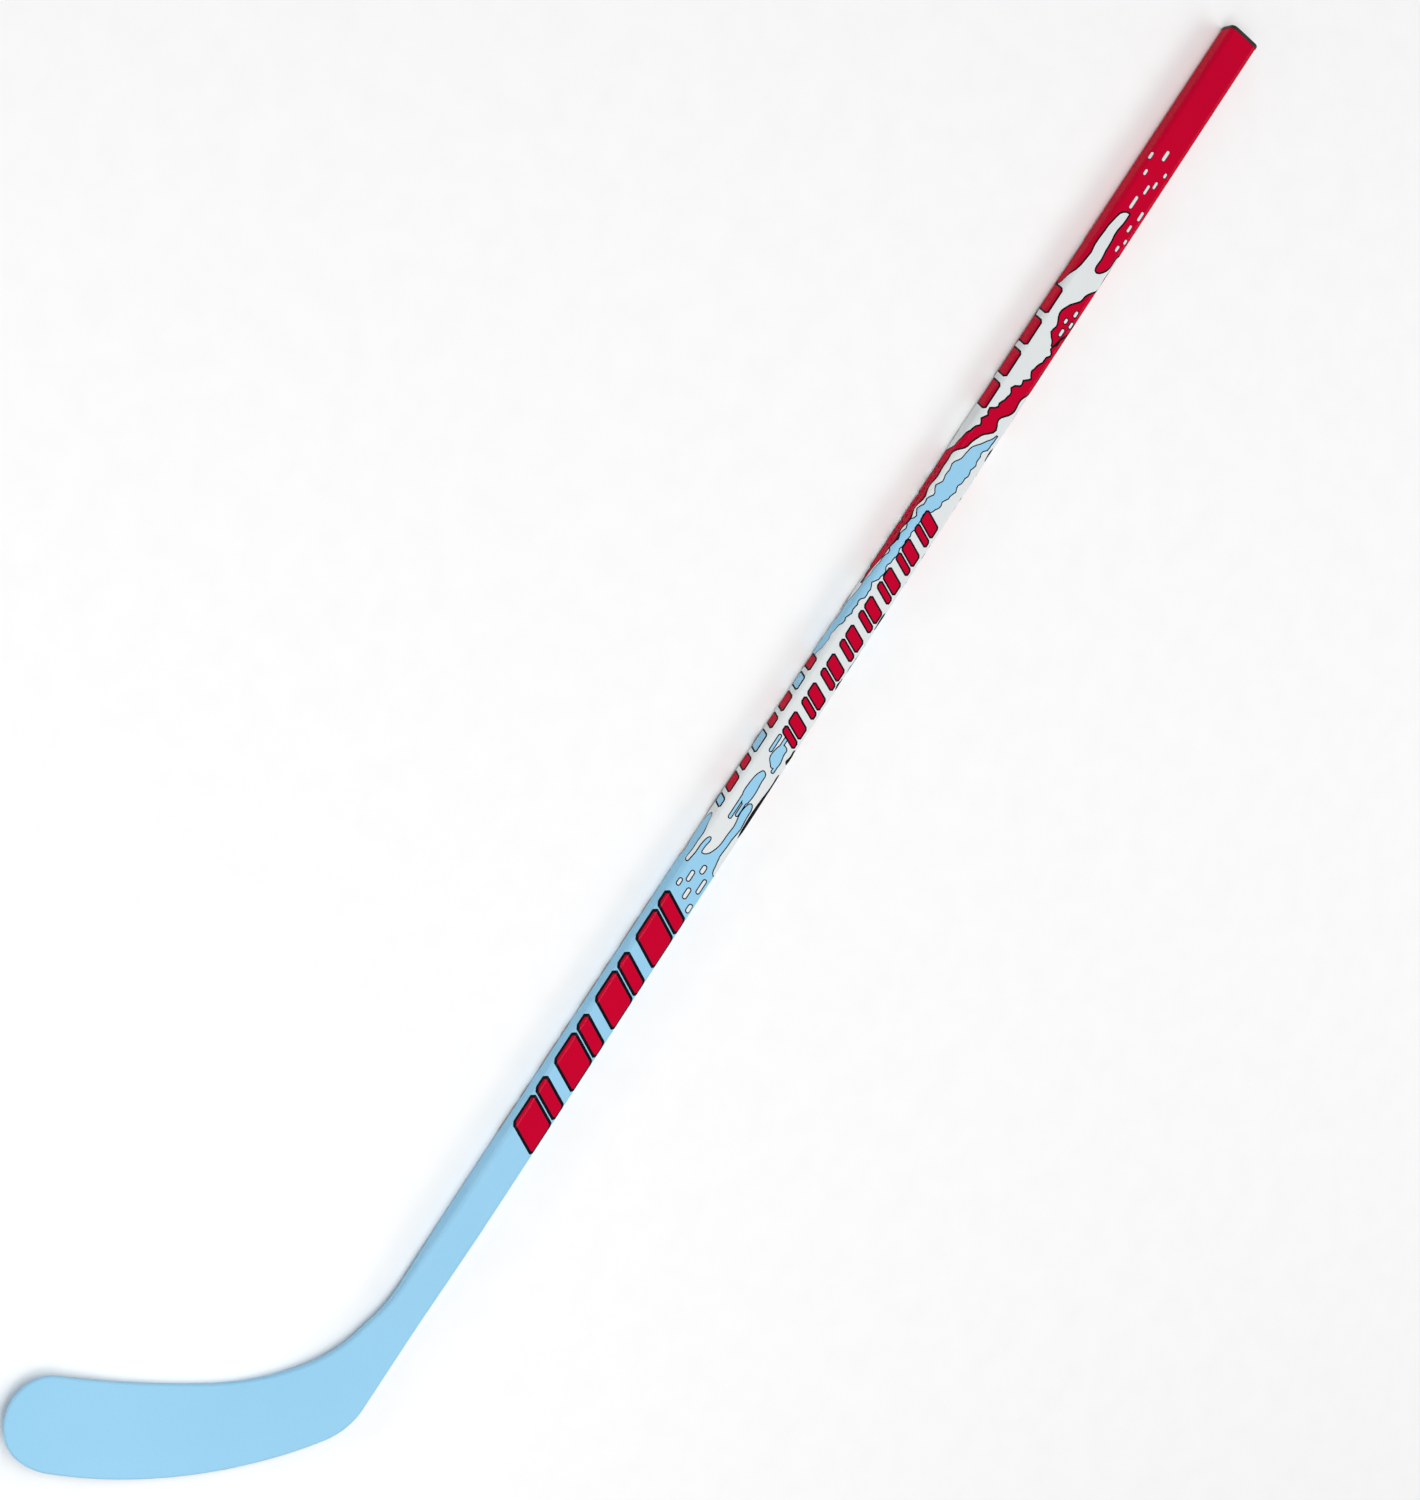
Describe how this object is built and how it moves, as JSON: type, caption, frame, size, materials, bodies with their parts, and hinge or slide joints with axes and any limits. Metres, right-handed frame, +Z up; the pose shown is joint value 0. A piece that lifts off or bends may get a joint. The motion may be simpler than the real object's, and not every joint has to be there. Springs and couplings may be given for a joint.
{
  "type": "ice hockey stick",
  "caption": "Youth ice hockey stick: hollow composite shaft with a pull-out butt plug, bonded to a curved foam-cored blade, right-handed.",
  "frame": {"origin": "on the floor under the middle of the stick's box, as it lies on the back of its blade", "axes": "+X up the shaft from blade to butt end, +Y to the side that the blade bends to, +Z up, out of the forehand face"},
  "size_m": [1.3524, 0.2276, 0.0209],
  "materials": {
    "shaft_paint": "satin",
    "blade_paint": "satin",
    "plug_plastic": "matte",
    "laminate": "matte",
    "adhesive": "matte",
    "foam": "matte"
  },
  "bodies": {
    "stick": {"shaft_tube": "shaft_paint", "hosel_tenon": "laminate", "tenon_adhesive": "adhesive", "shaft_foam_plug": "foam", "neck_wrap": "blade_paint", "neck_core": "foam", "blade_front_skin": "blade_paint", "blade_back_skin": "blade_paint", "blade_edge_band": "blade_paint", "blade_core_rib": "laminate", "blade_core_lower": "foam", "blade_core_upper": "foam"},
    "butt_plug": {"end_plug": "plug_plastic"}
  },
  "joints": [
    {"name": "plug_pull", "type": "slide", "parent": "stick", "child": "butt_plug", "axis": [1, 0, 0], "range_m": [0, 0.045]}
  ]
}
